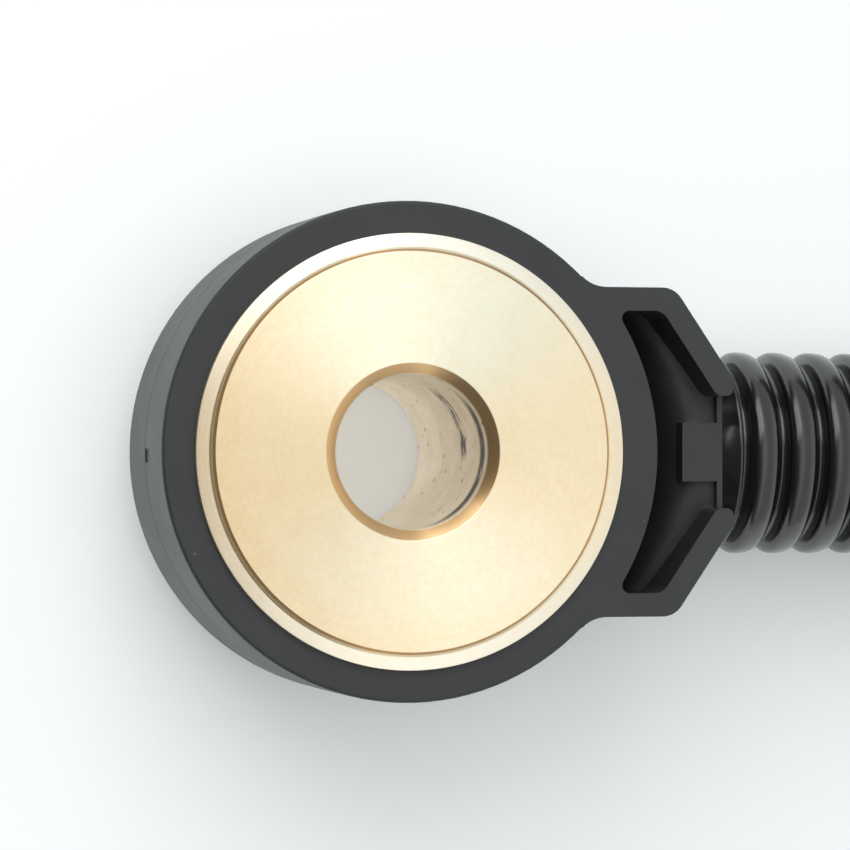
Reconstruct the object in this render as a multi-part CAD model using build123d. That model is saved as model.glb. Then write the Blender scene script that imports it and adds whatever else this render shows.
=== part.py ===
from build123d import *
import math
import os

# An engine knock sensor: a brass core that one bolt clamps, a piezo stack threaded on its shank,
# a moulded body with a lug for the lead, and a lead in corrugated conduit that ends in a sealed plug.
# Millimetres. The origin is the bore's centre on the contact face, +Z leaves that face, and the
# lead leaves along +X. The sensor lies on its back, so the floor is at minus the core's length.

# Core
core_length = 18.0
bore_radius = 4.25
bore_chamfer = 0.62
bore_chamfer_depth = 0.45
contact_radius = 11.0
contact_step = 0.35
contact_slope = 0.25
flange_radius = 12.0
flange_thickness = 3.0
key_groove_width = 0.8
key_groove_depth = 0.45
shank_radius = 6.3

# Stack, from the flange to the nut
sleeve_clearance = 0.05
sleeve_wall = 0.3
ring_clearance = 0.1
insulator_radius = 10.4
insulator_thickness = 0.25
electrode_radius = 10.2
electrode_thickness = 0.3
piezo_radius = 10.0
piezo_thickness = 3.0
mass_radius = 10.2
mass_thickness = 3.8
mass_chamfer = 0.4
spring_radius = 9.4
spring_thickness = 0.8
spring_rise = 0.4
nut_radius = 9.2
nut_thickness = 2.4
nut_clearance = 0.05
nut_slot_width = 2.2
nut_slot_depth = 1.2
nut_slot_count = 4

# Body
rim_drop = 0.75
rim_radius = 13.8
rim_round = 0.2
body_radius = 13.84
parting_depth = 6.5
body_depth = 12.3
shoulder_radius = 11.2
shoulder_depth = 15.6
shoulder_round = 0.8
collar_radius = 8.6
collar_setback = 0.6
collar_round = 0.5

# Lug: the walled pocket beside the body
lug_half_width = 9.17
lug_corner_x = 15.1
lug_end_x = 18.54
lug_tip_half_width = 4.05
lug_corner_round = 1.3
lug_tip_round = 0.55
lug_tip_share = 0.7
lug_root_x = 9.0
lug_blend_round = 2.0
lug_wall = 1.3
pocket_root_radius = 14.1
pocket_depth = 7.0
pocket_gap_half_width = 3.15
pocket_round = 0.9
pocket_root_round = 0.45
ramp_foot_radius = 15.0
ramp_rise_radius = 15.8
ramp_rise = 2.9
ramp_brow_radius = 16.9
ramp_brow = 4.55
crown_radius = 20.0
crown_drop = 0.3
lip_drop = 2.15
lip_width = 0.32
pad_length = 2.05
pad_half_width = 1.65
pad_rise = 0.08
barrel_radius = 6.5
barrel_top = -5.95
barrel_root_x = 10.0
barrel_chamfer = 0.5
spigot_radius = 4.2
spigot_length = 9.0
spigot_barb_rise = 0.1
spigot_barb_length = 1.5
spigot_barb_places = (0.3, 0.6, 0.9)

# Lead
axis_drop = 9.0
conduit_radius = 5.85
conduit_bore_radius = 4.35
conduit_gap = 0.06
jacket_radius = 2.7
jacket_inset = 3.0
core_spacing = 2.6
core_hole_clearance = 0.05
insulation_radius = 0.9
conductor_radius = 0.6
conductor_length = 4.4
conductor_tail = 3.2

# Tabs, terminals and the load resistor inside the lug
tab_width = 2.0
tab_bend_x = 11.75
tab_bend_round = 0.5
tab_end_x = 15.2
tab_inner_radius = 9.6
crimp_radius = 0.95
crimp_length = 3.8
tongue_thickness = 0.3
tongue_length = 2.6
tongue_inset = 0.1
resistor_length = 3.2
resistor_width = 1.6
resistor_height = 0.6

# Plug, in its own frame: +X is the way the mate leaves, and zero is the lead's axis at its rear face
plug_width = 19.0
plug_round = 2.2
plug_inner_round = 1.2
plug_length = 24.0
plug_cavity_depth = 13.0
plug_wall = 1.5
pin_pitch = 5.0
pin_width = 2.8
pin_thickness = 0.8
pin_reach = 9.0
pin_bevel = 0.3
pin_bevel_length = 1.0
pin_start_gap = 0.2
pin_root_width = 3.4
pin_root_thickness = 1.2
seal_radius = 2.05
seal_length = 4.5
seal_rib_rise = 0.15
seal_rib_count = 3
cell_clearance = 0.02
latch_width = 5.0
latch_length = 4.0
latch_rise = 1.6
latch_heel = 0.3
latch_land = 0.4
latch_setback = 5.0
guide_width = 1.2
guide_rise = 1.2
guide_length = 11.0
guide_spread = 6.4
shell_length = 17.0
shell_collar_radius = 7.4
shell_collar_length = 8.0
shell_wall = 1.2
shell_grip_count = 3
shell_grip_width = 1.0
shell_grip_depth = 0.4
shell_grip_start = 1.5
shell_square_length = 3.5
conduit_tuck = 9.0
jacket_reach = 2.0
fan_start = 5.4
fan_end = 2.2
fan_radius = 3.0
seal_end = 5.2
pin_root_x = 9.0

floor_z = -core_length
axis_z = -axis_drop
core_offset = core_spacing / 2
low_z = floor_z + conduit_radius + 0.05
plug_z = floor_z + shell_collar_radius
plug_height = 2 * shell_collar_radius

# The lead's route, chosen by hand: out of the lug, down to the floor, once round and into the plug
route = [
    (lug_end_x + conduit_gap, 0, axis_z),
    (38, 0, axis_z),
    (66, -1, low_z),
    (106, -4, low_z),
    (156, 3, low_z),
    (190, 35, low_z),
    (200, 80, low_z),
    (178, 123, low_z),
    (136, 142, low_z),
    (89, 131, low_z),
    (60, 93, plug_z),
    (60, 48, plug_z),
]
arc_share = 0.45


def ring(inner, outer, top, thickness):
    """A flat ring about the bore's axis, hanging down from its top plane."""
    section = Circle(outer) - Circle(inner)
    return Pos(0, 0, top - thickness) * extrude(section, thickness)


def drum(radius, top, thickness):
    """A solid disc about the bore's axis, hanging down from its top plane."""
    return Pos(0, 0, top - thickness) * extrude(Circle(radius), thickness)


def rod(radius, start_x, length, y=0.0, z=0.0):
    """A round bar along X."""
    return Pos(start_x, y, z) * extrude(Plane.YZ * Circle(radius), length)


def bar(x0, x1, y0, y1, z0, z1):
    """A block between two corners."""
    size = Box(x1 - x0, y1 - y0, z1 - z0, align=Align.MIN)
    return Pos(x0, y0, z0) * size


# Depths of the stack, each from the piece that it seats on
sleeve_inner = shank_radius + sleeve_clearance
sleeve_outer = sleeve_inner + sleeve_wall
ring_inner = sleeve_outer + ring_clearance
insulator_a_top = -flange_thickness
electrode_a_top = insulator_a_top - insulator_thickness
piezo_top = electrode_a_top - electrode_thickness
electrode_b_top = piezo_top - piezo_thickness
insulator_b_top = electrode_b_top - electrode_thickness
mass_top = insulator_b_top - insulator_thickness
spring_top = mass_top - mass_thickness
spring_height = spring_thickness + spring_rise
nut_top = spring_top - spring_height
tab_z = axis_z - crimp_radius + tongue_thickness
crimp_x = tab_end_x + tongue_thickness


def make_bushing():
    """The turned core: contact face, flange with its keying groove, shank and chamfered bore."""
    mouth = bore_radius + bore_chamfer
    outline = Polyline(
        (bore_radius, -bore_chamfer_depth),
        (mouth, 0),
        (contact_radius, 0),
        (contact_radius + contact_slope, -contact_step),
        (flange_radius, -contact_step),
        (flange_radius, -flange_thickness),
        (shank_radius, -flange_thickness),
        (shank_radius, -core_length),
        (mouth, -core_length),
        (bore_radius, -core_length + bore_chamfer_depth),
        close=True,
    )
    body = revolve(Plane.XZ * make_face(outline), Axis.Z)
    groove_top = -(contact_step + flange_thickness) / 2 + key_groove_width / 2
    groove = ring(flange_radius - key_groove_depth, flange_radius + 1, groove_top, key_groove_width)
    return body - groove


def make_electrode(top, y):
    """A contact ring with one tab, bent down beside the stack and out under the pocket."""
    plate = ring(ring_inner, electrode_radius, top, electrode_thickness)
    middle = top - electrode_thickness / 2
    line = FilletPolyline(
        (tab_inner_radius, middle),
        (tab_bend_x, middle),
        (tab_bend_x, tab_z + electrode_thickness / 2),
        (tab_end_x, tab_z + electrode_thickness / 2),
        radius=tab_bend_round,
    )
    strip = Plane.XZ * trace(line, electrode_thickness)
    tab = Pos(0, y, 0) * extrude(strip, tab_width / 2, both=True)
    return plate + tab


def make_mass():
    """The steel ring whose inertia presses on the piezo ring."""
    body = ring(ring_inner, mass_radius, mass_top, mass_thickness)
    rims = body.edges().filter_by(GeomType.CIRCLE).filter_by(lambda e: e.radius > mass_radius - 0.1)
    return chamfer(rims, mass_chamfer)


def make_spring():
    """A conical spring washer: its outer edge presses on the mass, its inner edge on the nut."""
    inner = shank_radius + nut_clearance
    outline = Polyline(
        (spring_radius, spring_top),
        (spring_radius, spring_top - spring_thickness),
        (inner, spring_top - spring_height),
        (inner, spring_top - spring_rise),
        close=True,
    )
    return revolve(Plane.XZ * make_face(outline), Axis.Z)


def make_nut():
    """The ring nut that preloads the stack, with slots for its key in the outer edge."""
    nut = ring(shank_radius + nut_clearance, nut_radius, nut_top, nut_thickness)
    half = nut_slot_width / 2
    slot = bar(nut_radius - nut_slot_depth, nut_radius + 1, -half, half, nut_top - nut_thickness, nut_top)
    for index in range(nut_slot_count):
        nut -= Rot(0, 0, (index + 0.5) * 360 / nut_slot_count) * slot
    return nut


def make_terminal(y):
    """A crimp barrel on the conductor, with a tongue welded under its tab."""
    barrel = rod(crimp_radius, crimp_x, crimp_length, y, axis_z)
    tongue = bar(
        tab_end_x - tongue_length, crimp_x + crimp_radius,
        y - tab_width / 2 + tongue_inset, y + tab_width / 2 - tongue_inset,
        tab_z - tongue_thickness, tab_z,
    )
    return barrel + tongue - rod(conductor_radius, crimp_x, crimp_length, y, axis_z)


def make_resistor():
    """The chip resistor that bridges the two tabs from below."""
    right = tab_end_x - tongue_length
    half = resistor_length / 2
    return bar(right - resistor_width, right, -half, half, tab_z - resistor_height, tab_z)


def turn_sign(before, corner, after):
    """One where the route turns left in plan, minus one where it turns right."""
    ax, ay = corner[0] - before[0], corner[1] - before[1]
    bx, by = after[0] - corner[0], after[1] - corner[1]
    return 1 if ax * by - ay * bx >= 0 else -1


def arc_radii(points):
    """One radius for each corner, as large as its two runs allow."""
    radii = []
    for before, corner, after in zip(points, points[1:], points[2:]):
        a = Vector(*corner) - Vector(*before)
        b = Vector(*after) - Vector(*corner)
        half_turn = math.radians(a.get_angle(b)) / 2
        radii.append(arc_share * min(a.length, b.length) / math.tan(half_turn))
    return radii


def beside(points, offset):
    """The route moved sideways in plan, so that it stays the same distance from the first one."""
    moved = []
    last = len(points) - 1
    for index, (x, y, z) in enumerate(points):
        before = points[max(index - 1, 0)]
        after = points[min(index + 1, last)]
        back = math.atan2(y - before[1], x - before[0])
        ahead = math.atan2(after[1] - y, after[0] - x)
        if index == 0:
            back = ahead
        if index == last:
            ahead = back
        middle_x = math.cos(back) + math.cos(ahead)
        middle_y = math.sin(back) + math.sin(ahead)
        size = math.hypot(middle_x, middle_y)
        reach = 2 * offset / size
        moved.append((x - reach * middle_y / size, y + reach * middle_x / size, z))
    return moved


def tube_path(points, radii, start_shift=0.0, end_shift=0.0):
    """Straight runs and tangent arcs, with the two ends moved along their own runs."""
    first = Vector(*points[0]) - (Vector(*points[1]) - Vector(*points[0])).normalized() * start_shift
    end = Vector(*points[-1]) + (Vector(*points[-1]) - Vector(*points[-2])).normalized() * end_shift
    stations = [first] + [Vector(*point) for point in points[1:-1]] + [end]
    return FilletPolyline(*stations, radius=radii)


def sweep_round(path, radius):
    """A round bar along a path."""
    plane = Plane(origin=path @ 0, z_dir=path % 0)
    return sweep(plane * Circle(radius), path=path)


def plug_frame():
    """Where the plug's own frame lies: beyond the conduit's end, in line with its last run."""
    end = Vector(*route[-1])
    ahead = (end - Vector(*route[-2])).normalized()
    place = end + ahead * (shell_length - conduit_tuck)
    return Location((place.X, place.Y, place.Z), (0, 0, math.degrees(math.atan2(ahead.Y, ahead.X))))


def corner_round(face, x, y, radius):
    """Rounds the corner of a face that is nearest to a point."""
    nearest = face.vertices().sort_by_distance((x, y, 0))[0]
    return fillet(nearest, radius)


def make_core_body():
    """The moulded body's turned form: drafted rim, wall, rear shoulder and collar."""
    rear = -(core_length - collar_setback)
    outline = Polyline(
        (0, -rim_drop),
        (rim_radius, -rim_drop),
        (body_radius, -parting_depth),
        (body_radius, -body_depth),
        (shoulder_radius, -shoulder_depth),
        (collar_radius, -shoulder_depth),
        (collar_radius, rear),
        (0, rear),
        close=True,
    )
    face = make_face(outline)
    face = corner_round(face, rim_radius, -rim_drop, rim_round)
    face = corner_round(face, body_radius, -body_depth, shoulder_round)
    face = corner_round(face, shoulder_radius, -shoulder_depth, shoulder_round)
    face = corner_round(face, collar_radius, rear, collar_round)
    return revolve(Plane.XZ * face, Axis.Z)


def lug_outline():
    """The lug seen along the bore: two straight sides, two diagonals and a narrow end."""
    half = lug_half_width
    tip = lug_tip_half_width
    outline = Polyline(
        (lug_root_x, half), (lug_corner_x, half), (lug_end_x, tip),
        (lug_end_x, -tip), (lug_corner_x, -half), (lug_root_x, -half),
        close=True,
    )
    return make_face(outline)


def blend_outline(side):
    """Fills the corner between the body's rim and one straight side of the lug up to a tangent arc."""
    reach = rim_radius + lug_blend_round
    height = lug_half_width + lug_blend_round
    centre_x = math.sqrt(reach ** 2 - height ** 2)
    share = rim_radius / reach
    corner = Polyline(
        (centre_x * share, side * height * share), (centre_x, side * lug_half_width),
        (lug_root_x, side * (lug_half_width - lug_wall)),
        close=True,
    )
    return make_face(corner) - Pos(centre_x, side * height) * Circle(lug_blend_round)


def pocket_outline():
    """The lug's pocket: one wall further in, round the body, and open at the end between the two tips."""
    run = lug_end_x - lug_corner_x
    rise = lug_half_width - lug_tip_half_width
    slope = run / rise
    shift = lug_wall * math.hypot(run, rise) / rise
    half = lug_half_width - lug_wall
    gap = pocket_gap_half_width
    corner_x = lug_corner_x + (lug_half_width - half) * slope - shift
    tip_x = lug_corner_x + (lug_half_width - gap) * slope - shift
    outline = Polyline(
        (lug_root_x, half), (corner_x, half), (tip_x, gap), (lug_end_x + 1, gap),
        (lug_end_x + 1, -gap), (tip_x, -gap), (corner_x, -half), (lug_root_x, -half),
        close=True,
    )
    face = make_face(outline) - Circle(pocket_root_radius)
    root_x = math.sqrt(pocket_root_radius ** 2 - half ** 2)
    for side in (1, -1):
        face = corner_round(face, corner_x, side * half, pocket_round)
        face = corner_round(face, tip_x, side * gap, lug_tip_round)
        face = corner_round(face, root_x, side * half, pocket_root_round)
    return face


def make_ramp():
    """What fills the pocket below its floor: steep round the body, then level under a slight crown."""
    foot = -rim_drop - pocket_depth
    reach = 2 * lug_end_x
    climb = Spline(
        (ramp_foot_radius, foot),
        (ramp_rise_radius, foot + ramp_rise),
        (ramp_brow_radius, foot + ramp_brow),
        (lug_end_x, foot + pocket_depth - lip_drop),
    )
    under = Polyline(
        (lug_end_x, foot + pocket_depth - lip_drop), (reach, foot + pocket_depth - lip_drop),
        (reach, foot - 1), (ramp_foot_radius, foot - 1), (ramp_foot_radius, foot),
    )
    turned = revolve(Plane.XZ * make_face(climb + under), Axis.Z)
    crown_top = -rim_drop - lip_drop - crown_drop
    return turned & rod(crown_radius, 0, reach, 0, crown_top - crown_radius)


def make_lug():
    """A solid lug with its pocket cut in, a lip and a flat pad over the lead's exit, and the barrel below."""
    outline = lug_outline()
    lip_top = -rim_drop - lip_drop
    foot = -rim_drop - pocket_depth
    tip_round = lug_tip_round * lug_tip_share
    for side in (1, -1):
        outline = corner_round(outline, lug_corner_x, side * lug_half_width, lug_corner_round)
        outline = corner_round(outline, lug_end_x, side * lug_tip_half_width, tip_round)
        outline += blend_outline(side)
    lug = Pos(0, 0, axis_z) * extrude(outline, -rim_drop - axis_z)
    pocket = Pos(0, 0, foot) * extrude(pocket_outline(), pocket_depth + 1)
    lip = bar(lug_end_x - lip_width, lug_end_x, -body_radius, body_radius, foot, lip_top)
    pad_end = lug_end_x - lip_width
    pad = bar(pad_end - pad_length, pad_end, -pad_half_width, pad_half_width, foot + 1, lip_top + pad_rise)
    lug -= pocket - make_ramp() - lip - pad
    barrel = rod(barrel_radius, barrel_root_x, lug_end_x - barrel_root_x, 0, axis_z)
    end = barrel.edges().filter_by(GeomType.CIRCLE).sort_by(Axis.X)[-1]
    barrel = chamfer(end, barrel_chamfer)
    above = bar(0, 2 * lug_end_x, -body_radius, body_radius, barrel_top, 1)
    return lug + (barrel - above)


def make_spigot():
    """The stub that the conduit is pushed over, with low barbs that bite into it."""
    spigot = rod(spigot_radius, lug_end_x - 1, spigot_length + 1, 0, axis_z)
    for share in spigot_barb_places:
        start = lug_end_x + spigot_length * share - spigot_barb_length
        profile = Polyline(
            (start, 0), (start, spigot_radius + spigot_barb_rise),
            (start + spigot_barb_length, spigot_radius), (start + spigot_barb_length, 0),
            close=True,
        )
        spigot += Pos(0, 0, axis_z) * revolve(make_face(profile), Axis.X)
    return spigot


def make_housing(inserts):
    """The moulded body, formed round the pieces that it holds, so every one of them seats in it."""
    housing = make_core_body() + make_lug() + make_spigot()
    housing -= drum(shank_radius, 0, core_length)
    housing -= drum(insulator_radius, insulator_a_top, insulator_thickness)
    housing -= drum(electrode_radius, electrode_a_top, electrode_thickness)
    housing -= drum(piezo_radius, piezo_top, piezo_thickness)
    housing -= drum(electrode_radius, electrode_b_top, electrode_thickness)
    housing -= drum(insulator_radius, insulator_b_top, insulator_thickness)
    housing -= drum(mass_radius, mass_top, mass_thickness)
    housing -= drum(spring_radius, spring_top, spring_height)
    housing -= drum(shank_radius + nut_clearance, nut_top, nut_thickness)
    for insert in inserts:
        housing -= insert
    return housing


def core_route(side):
    """One core's line: beside the lead's middle, then spread to its own cell in the plug."""
    frame = plug_frame()
    line = beside(route, side * core_offset)[:-1]
    for x, y in ((-fan_start, core_offset), (-fan_end, pin_pitch / 2), (seal_end, pin_pitch / 2)):
        place = frame * Pos(x, side * y, 0)
        line.append((place.position.X, place.position.Y, place.position.Z))
    return line


def core_radii(side):
    """The main radii moved by the core's offset, and two small bends inside the plug."""
    radii = arc_radii(route)
    shifted = []
    for index, radius in enumerate(radii):
        shifted.append(radius - side * core_offset * turn_sign(*route[index:index + 3]))
    return shifted + [fan_radius, fan_radius]


def make_core(side):
    """An insulated wire, bare at both ends where it is crimped."""
    y = side * core_offset
    insulation_start = crimp_x + conductor_length
    shift = route[0][0] - insulation_start
    line = tube_path(core_route(side), core_radii(side), shift)
    wire = sweep_round(line, insulation_radius)
    wire += rod(conductor_radius, crimp_x, conductor_length, y, axis_z)
    tail = rod(conductor_radius, seal_end, conductor_tail, side * pin_pitch / 2, 0)
    return wire + plug_frame() * tail


def make_jacket():
    """The lead's jacket, with a hole for each core along its whole length."""
    shift = route[0][0] - (lug_end_x + jacket_inset)
    jacket = sweep_round(tube_path(route, arc_radii(route), shift, jacket_reach), jacket_radius)
    for side in (1, -1):
        line = tube_path(core_route(side), core_radii(side), shift + 1)
        jacket -= sweep_round(line, insulation_radius + core_hole_clearance)
    return jacket


def make_conduit():
    """The conduit as a plain tube of its outer size."""
    radii = arc_radii(route)
    outside = sweep_round(tube_path(route, radii), conduit_radius)
    inside = sweep_round(tube_path(route, radii, 1, 1), conduit_bore_radius)
    return outside - inside


def make_plug_housing():
    """The plug's shroud, with its cells behind and its latch nose and guides on top."""
    section = Plane.YZ * RectangleRounded(plug_width, plug_height, plug_round)
    body = extrude(section, plug_length)
    inner_width = plug_width - 2 * plug_wall
    inner_height = plug_height - 2 * plug_wall
    inner = Plane.YZ * RectangleRounded(inner_width, inner_height, plug_inner_round)
    cavity_x = plug_length - plug_cavity_depth
    body -= Pos(cavity_x, 0, 0) * extrude(inner, plug_cavity_depth + 1)
    for side in (1, -1):
        y = side * pin_pitch / 2
        body -= rod(seal_radius + seal_rib_rise + cell_clearance, -1, 1 + seal_end + pin_start_gap, y, 0)
        body -= rod(crimp_radius + cell_clearance, 0, pin_root_x, y, 0)
        half_width = pin_root_width / 2 + cell_clearance
        half_height = pin_root_thickness / 2 + cell_clearance
        body -= bar(pin_root_x, cavity_x + 1, y - half_width, y + half_width, -half_height, half_height)
    top = plug_height / 2
    nose_x = plug_length - latch_setback
    land_x = nose_x - latch_length
    heel_x = land_x - latch_land
    nose = Polyline(
        (nose_x, top - 1), (nose_x, top + latch_heel), (land_x, top + latch_rise),
        (heel_x, top + latch_rise), (heel_x, top - 1),
        close=True,
    )
    body += extrude(Plane.XZ * make_face(nose), latch_width / 2, both=True)
    for side in (1, -1):
        middle = side * guide_spread
        body += bar(
            plug_length - guide_length, plug_length,
            middle - guide_width / 2, middle + guide_width / 2, top - 1, top + guide_rise,
        )
    return body


def make_pin(side):
    """A blade terminal: crimp barrel, root in the plug's wall and bevelled blade."""
    y = side * pin_pitch / 2
    start = seal_end + pin_start_gap
    cavity_x = plug_length - plug_cavity_depth
    pin = rod(crimp_radius, start, pin_root_x - start, y, 0)
    pin += bar(
        pin_root_x, cavity_x, y - pin_root_width / 2, y + pin_root_width / 2,
        -pin_root_thickness / 2, pin_root_thickness / 2,
    )
    half = pin_thickness / 2
    tip = cavity_x + pin_reach
    root = cavity_x - pin_root_thickness / 2
    blade = Polyline(
        (root, half), (tip - pin_bevel_length, half), (tip, half - pin_bevel),
        (tip, pin_bevel - half), (tip - pin_bevel_length, -half), (root, -half),
        close=True,
    )
    pin += Pos(0, y, 0) * extrude(Plane.XZ * make_face(blade), pin_width / 2, both=True)
    return pin - rod(conductor_radius, seal_end, conductor_tail, y, 0)


def make_seal(side):
    """A ribbed rubber seal round one core, in the mouth of its cell."""
    y = side * pin_pitch / 2
    start = seal_end - seal_length
    seal = rod(seal_radius, start, seal_length, y, 0)
    pitch = seal_length / seal_rib_count
    for index in range(seal_rib_count):
        middle = start + (index + 0.5) * pitch
        seal += rod(seal_radius + seal_rib_rise, middle - pitch / 4, pitch / 2, y, 0)
    return seal - rod(insulation_radius + cell_clearance, start - 1, seal_length + 2, y, 0)


def make_shell():
    """The plug's rear cover: a round collar over the conduit that opens out to the plug's section."""
    throat_x = -shell_length + shell_collar_length
    square_x = -shell_square_length
    shell = rod(shell_collar_radius, -shell_length, shell_collar_length)
    round_end = Pos(throat_x, 0, 0) * (Plane.YZ * Circle(shell_collar_radius))
    square_end = Pos(square_x, 0, 0) * (Plane.YZ * RectangleRounded(plug_width, plug_height, plug_round))
    shell += loft([round_end, square_end])
    shell += extrude(square_end, shell_square_length)
    shell -= rod(conduit_radius + conduit_gap, -shell_length - 1, conduit_tuck + 1)
    shell -= rod(conduit_radius - shell_wall, -shell_length, shell_length + 1)
    for index in range(shell_grip_count):
        start = -shell_length + shell_grip_start + index * 2 * shell_grip_width
        groove = Circle(shell_collar_radius + 1) - Circle(shell_collar_radius - shell_grip_depth)
        shell -= Pos(start, 0, 0) * extrude(Plane.YZ * groove, shell_grip_width)
    return shell


bushing = make_bushing()
electrode_a = make_electrode(electrode_a_top, core_offset)
electrode_b = make_electrode(electrode_b_top, -core_offset)
ring_nut = make_nut()
terminals = {side: make_terminal(side * core_offset) for side in (1, -1)}
resistor = make_resistor()
cores = {side: make_core(side) for side in (1, -1)}
jacket = make_jacket()
inserts = [bushing, electrode_a, electrode_b, ring_nut, resistor, jacket]
inserts += list(terminals.values()) + list(cores.values())
place_plug = plug_frame()

nodes = {
    "sensor_housing": make_housing(inserts),
    "core_bushing": bushing,
    "shank_sleeve": ring(sleeve_inner, sleeve_outer, -flange_thickness, -flange_thickness - spring_top),
    "front_insulator": ring(ring_inner, insulator_radius, insulator_a_top, insulator_thickness),
    "front_electrode": electrode_a,
    "piezo_ring": ring(ring_inner, piezo_radius, piezo_top, piezo_thickness),
    "rear_electrode": electrode_b,
    "rear_insulator": ring(ring_inner, insulator_radius, insulator_b_top, insulator_thickness),
    "seismic_mass": make_mass(),
    "spring_washer": make_spring(),
    "ring_nut": ring_nut,
    "load_resistor": resistor,
    "crimp_terminal_a": terminals[1],
    "crimp_terminal_b": terminals[-1],
    "lead_core_a": cores[1],
    "lead_core_b": cores[-1],
    "lead_jacket": jacket,
    "lead_conduit": make_conduit(),
    "plug_housing": place_plug * make_plug_housing(),
    "plug_pin_a": place_plug * make_pin(1),
    "plug_pin_b": place_plug * make_pin(-1),
    "plug_seal_a": place_plug * make_seal(1),
    "plug_seal_b": place_plug * make_seal(-1),
    "plug_rear_shell": place_plug * make_shell(),
}

os.makedirs("parts", exist_ok=True)
for name, shape in nodes.items():
    export_step(shape, "parts/" + name + ".step")

print("bend radii", [round(radius, 1) for radius in arc_radii(route)])
print("conduit length", round(tube_path(route, arc_radii(route)).length, 1))
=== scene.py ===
import math

import bmesh
import bpy
from mathutils import Matrix, Vector


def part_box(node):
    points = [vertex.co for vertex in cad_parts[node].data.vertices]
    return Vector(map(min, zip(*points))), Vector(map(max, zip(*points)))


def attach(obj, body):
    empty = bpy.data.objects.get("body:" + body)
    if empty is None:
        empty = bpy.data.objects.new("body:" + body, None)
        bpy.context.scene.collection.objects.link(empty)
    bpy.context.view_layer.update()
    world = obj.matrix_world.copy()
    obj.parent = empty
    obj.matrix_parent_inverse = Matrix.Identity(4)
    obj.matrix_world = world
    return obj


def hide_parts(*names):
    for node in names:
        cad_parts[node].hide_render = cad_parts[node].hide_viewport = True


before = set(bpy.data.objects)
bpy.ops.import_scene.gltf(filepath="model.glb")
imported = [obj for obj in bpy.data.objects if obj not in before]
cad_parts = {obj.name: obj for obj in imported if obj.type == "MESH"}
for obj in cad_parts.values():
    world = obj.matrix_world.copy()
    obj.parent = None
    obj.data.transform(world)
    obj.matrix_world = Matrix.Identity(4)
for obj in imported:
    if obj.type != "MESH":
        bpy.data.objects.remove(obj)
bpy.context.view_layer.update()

bl_info = {
    "name": "Engine knock sensor",
    "version": (1, 0, 0),
    "blender": (4, 5, 0),
    "location": "View3D > Sidebar > Knock sensor",
    "description": "Dresses the packed engine knock sensor and sets its stage",
    "category": "Object",
}

MM = 0.001
ALONG_X, ALONG_Y, ALONG_Z = 0, 1, 2

# Forms of the part. All are in millimetres, as in the part's source, up to the next heading.

# The core, whose contact face lies at height 0
BORE_RADIUS = 4.25
BORE_CHAMFER = 0.62
BORE_CHAMFER_DEPTH = 0.45
CONTACT_RADIUS = 11.0
CONTACT_SLOPE = 0.25
CONTACT_STEP = 0.35
FLANGE_RADIUS = 12.0
FLANGE_FOOT = -3.0
GROOVE_TOP = -1.275
GROOVE_WIDTH = 0.8
GROOVE_DEPTH = 0.45
SHANK_RADIUS = 6.3
CORE_END = -18.0

# The body's side, its mould's parting line, and the small mark that the gate left on it
BODY_RADIUS = 13.84
SIDE_RADIUS = 13.83
SIDE_TOP, SIDE_FOOT = -0.9, -12.4
SIDE_END_X = 9
PARTING_Z = -6.5
PARTING_HALF_WIDTH = 0.06
PARTING_DEPTH = 0.04
GATE_Z = (-6.35, -5.1)
GATE_Y = (-0.6, 0.2)
GATE_RIM = 0.06
GATE_DEPTH = 0.09

# The lug: its end, the noses of its wall beside the gap for the lead, and its lip
LUG_END_X = 18.54
GAP_HALF_WIDTH = 3.15
NOSE_TOP = -3.0
NOSE_ROUND = 0.42
LIP_Z = -2.9
LIP_REACH = 0.18
LIP_TURN = 0.15

# The pocket's ramp runs through these, as distance from the bore's axis and height
RAMP_FOOT = (15.0, -7.75)
RAMP_RISE = (15.8, -4.85)
RAMP_BROW = (16.9, -3.2)
RAMP_END = (LUG_END_X, LIP_Z)
RAMP_STEPS = 48

# The crown of the pocket's level part, how wide the two blend, and the floor that is reshaped
CROWN_RADIUS = 20.0
CROWN_CENTRE_Z = -23.2
POCKET_BLEND = 1.2
POCKET_ROOT_RADIUS = 14.1
POCKET_END_X = 18.25
POCKET_HALF_WIDTH = 7.9
POCKET_Z = (-7.8, -2.93)
POCKET_UPWARD = 0.25
POCKET_FIRST_CUT = (12.0, -7.6)
POCKET_CUT_STEP = (0.2, 0.4)
POCKET_CUTS = (31, 39)

# The lead's line
ROUTE = [
    (18.6, 0, -9.0),
    (38, 0, -9.0),
    (66, -1, -12.1),
    (106, -4, -12.1),
    (156, 3, -12.1),
    (190, 35, -12.1),
    (200, 80, -12.1),
    (178, 123, -12.1),
    (136, 142, -12.1),
    (89, 131, -12.1),
    (60, 93, -10.6),
    (60, 48, -10.6),
]

# The conduit's cut end, where its first rib starts, and one rib: along the lead, below the crest
CUT_END = [(0.2, 1.05), (1.18, 0.34), (1.30, 0.28), (1.40, 0.36), (1.44, 1.05)]
FIRST_RIB = 1.9
RIB = [
    (0.00, 1.05), (0.03, 0.74), (0.08, 0.42), (0.19, 0.15), (0.38, 0.03), (0.70, 0.00),
    (1.05, 0.03), (1.36, 0.13), (1.60, 0.34), (1.75, 0.66), (1.80, 1.05),
]
CONDUIT_BORE_STEP = 6

# Stage, in metres

FLOOR_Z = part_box("core_bushing")[0][2]
FLOOR_HALF_WIDTH = 1.5
KEY_PLACE = (-0.11, 0.32, 0.38)
KEY_SIZE = 0.4
KEY_POWER = 1.1

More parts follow.
